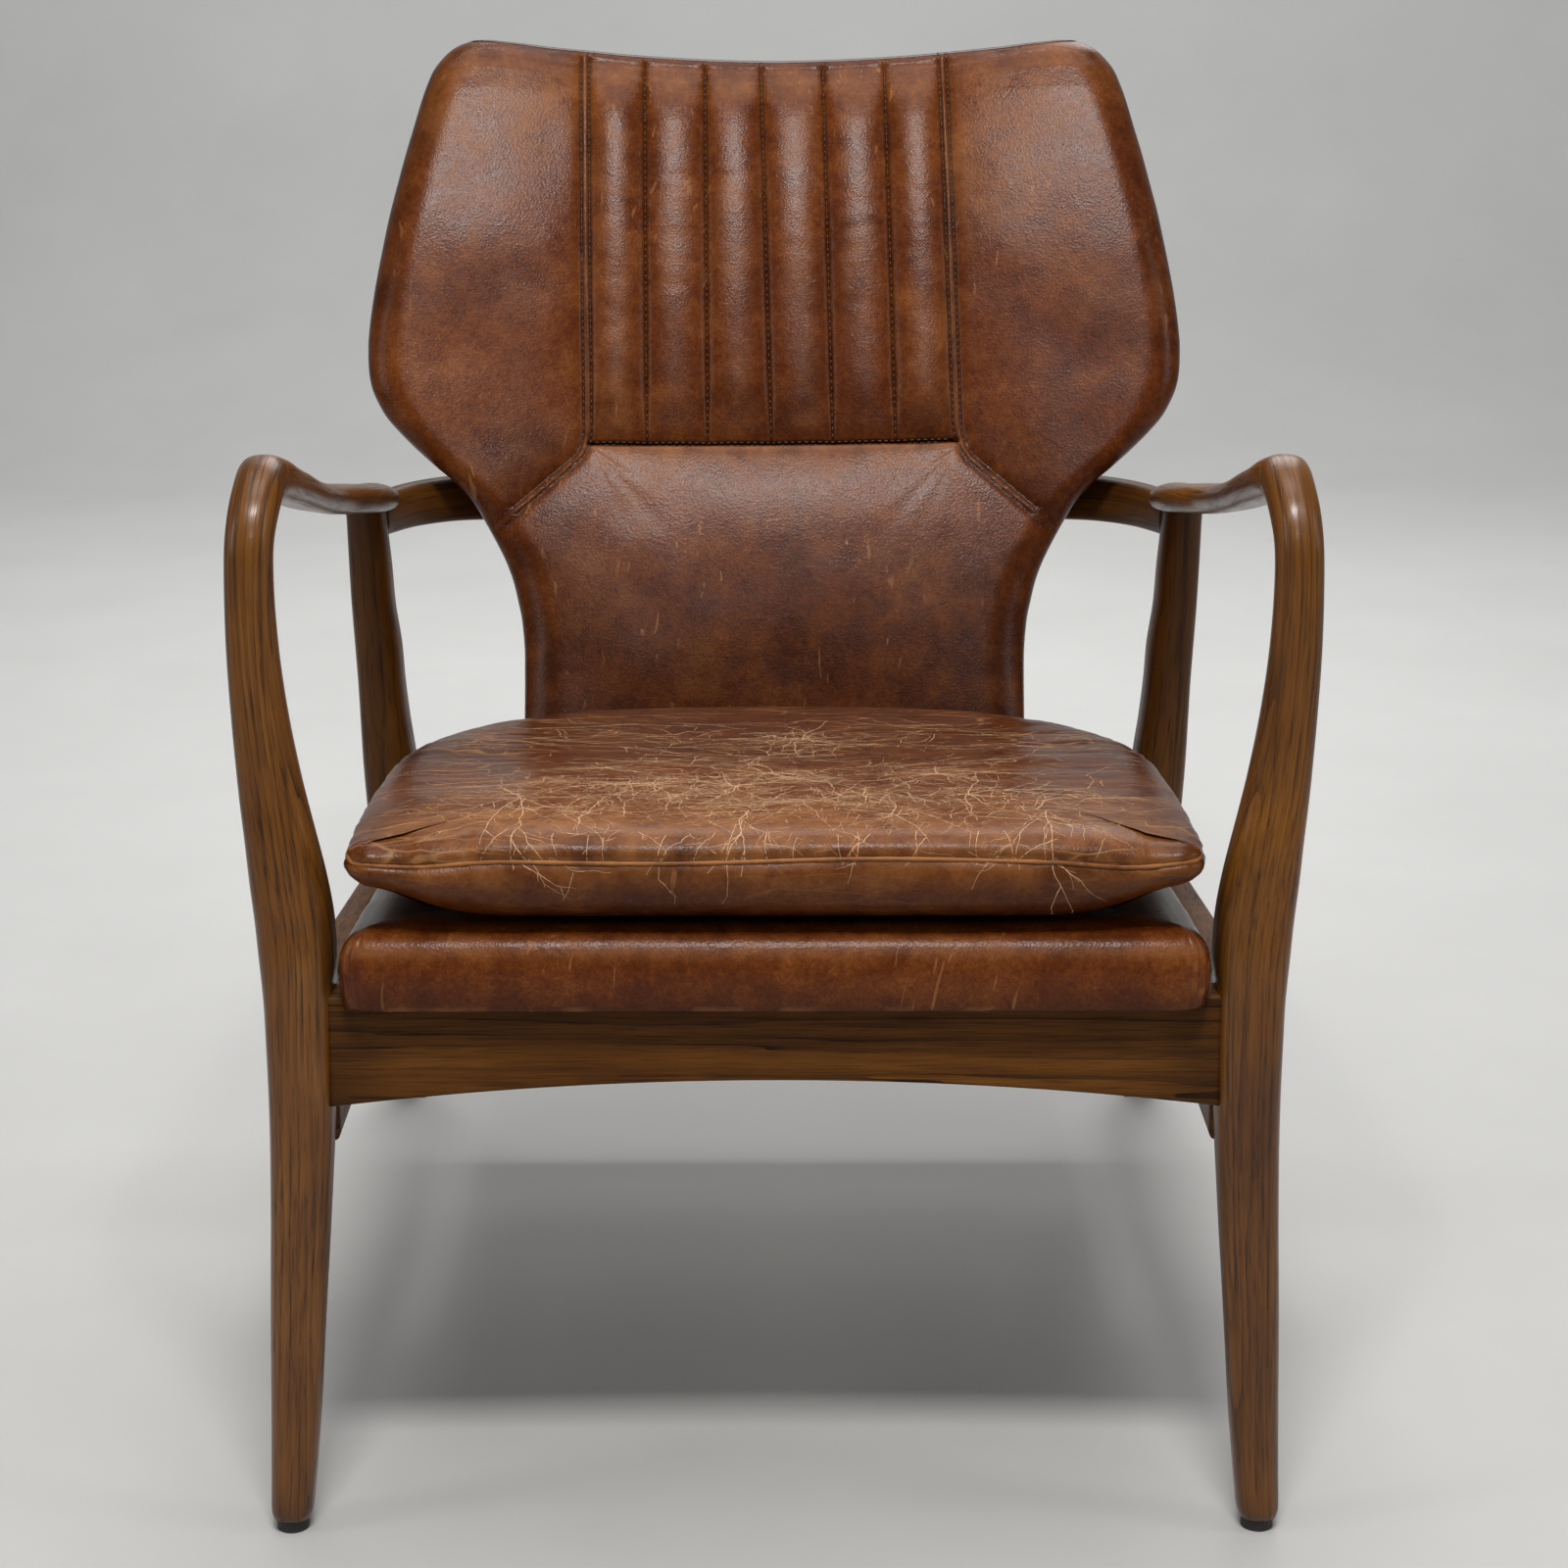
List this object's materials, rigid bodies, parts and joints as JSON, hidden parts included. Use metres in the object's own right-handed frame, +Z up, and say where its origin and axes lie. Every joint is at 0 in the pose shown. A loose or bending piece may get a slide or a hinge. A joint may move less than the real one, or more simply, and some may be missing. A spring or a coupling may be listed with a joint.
{
  "type": "worn open-arm lounge chair",
  "caption": "Open-arm show-wood lounge chair with a winged leather back, leather platform and a loose, cracked leather seat cushion.",
  "frame": {"origin": "on the floor, at the middle of the chair's bounding box", "axes": "+Z up, -Y is the way the chair faces, +X is the sitter's left; the chair is symmetric about the plane X = 0"},
  "size_m": [0.6194, 0.7538, 0.8325],
  "materials": {
    "show_wood": "satin",
    "raw_wood": "rough",
    "leather": "worn satin",
    "leather_rear": "satin",
    "foam": "matte",
    "webbing": "matte",
    "dust_cloth": "matte",
    "steel": "zinc plated",
    "zip": "dull",
    "glide": "matte"
  },
  "bodies": {
    "root": {"arm_left": "show_wood", "arm_right": "show_wood", "back_bolt_left": "steel", "back_bolt_right": "steel", "back_bow_rail": "show_wood", "back_cover": "leather", "back_foam": "foam", "back_plate_left": "steel", "back_plate_right": "steel", "back_rear_panel": "leather_rear", "back_shell": "raw_wood", "back_spacer_left": "show_wood", "back_spacer_right": "show_wood", "block_screw_front_left": "steel", "block_screw_front_right": "steel", "block_screw_rear_left": "steel", "block_screw_rear_right": "steel", "bow_dowel_left": "raw_wood", "bow_dowel_right": "raw_wood", "corner_block_front_left": "raw_wood", "corner_block_front_right": "raw_wood", "corner_block_rear_left": "raw_wood", "corner_block_rear_right": "raw_wood", "cushion_core": "foam", "cushion_cover": "leather", "cushion_zip": "zip", "deck_batten_front": "raw_wood", "deck_batten_left": "raw_wood", "deck_batten_rear": "raw_wood", "deck_batten_right": "raw_wood", "deck_cover": "leather", "deck_foam": "foam", "dust_cloth": "dust_cloth", "front_glide_left": "glide", "front_glide_right": "glide", "front_leg_left": "show_wood", "front_leg_right": "show_wood", "front_rail": "show_wood", "knee_dowel_left": "raw_wood", "knee_dowel_right": "raw_wood", "plate_screw_high_left": "steel", "plate_screw_high_right": "steel", "plate_screw_low_left": "steel", "plate_screw_low_right": "steel", "rear_glide_left": "glide", "rear_glide_right": "glide", "rear_leg_dowel_left": "raw_wood", "rear_leg_dowel_right": "raw_wood", "rear_leg_left": "show_wood", "rear_leg_right": "show_wood", "rear_rail": "show_wood", "side_rail_left": "show_wood", "side_rail_right": "show_wood", "webbing_strap_1": "webbing", "webbing_strap_2": "webbing", "webbing_strap_3": "webbing", "webbing_strap_4": "webbing", "webbing_strap_5": "webbing"}
  },
  "joints": []
}
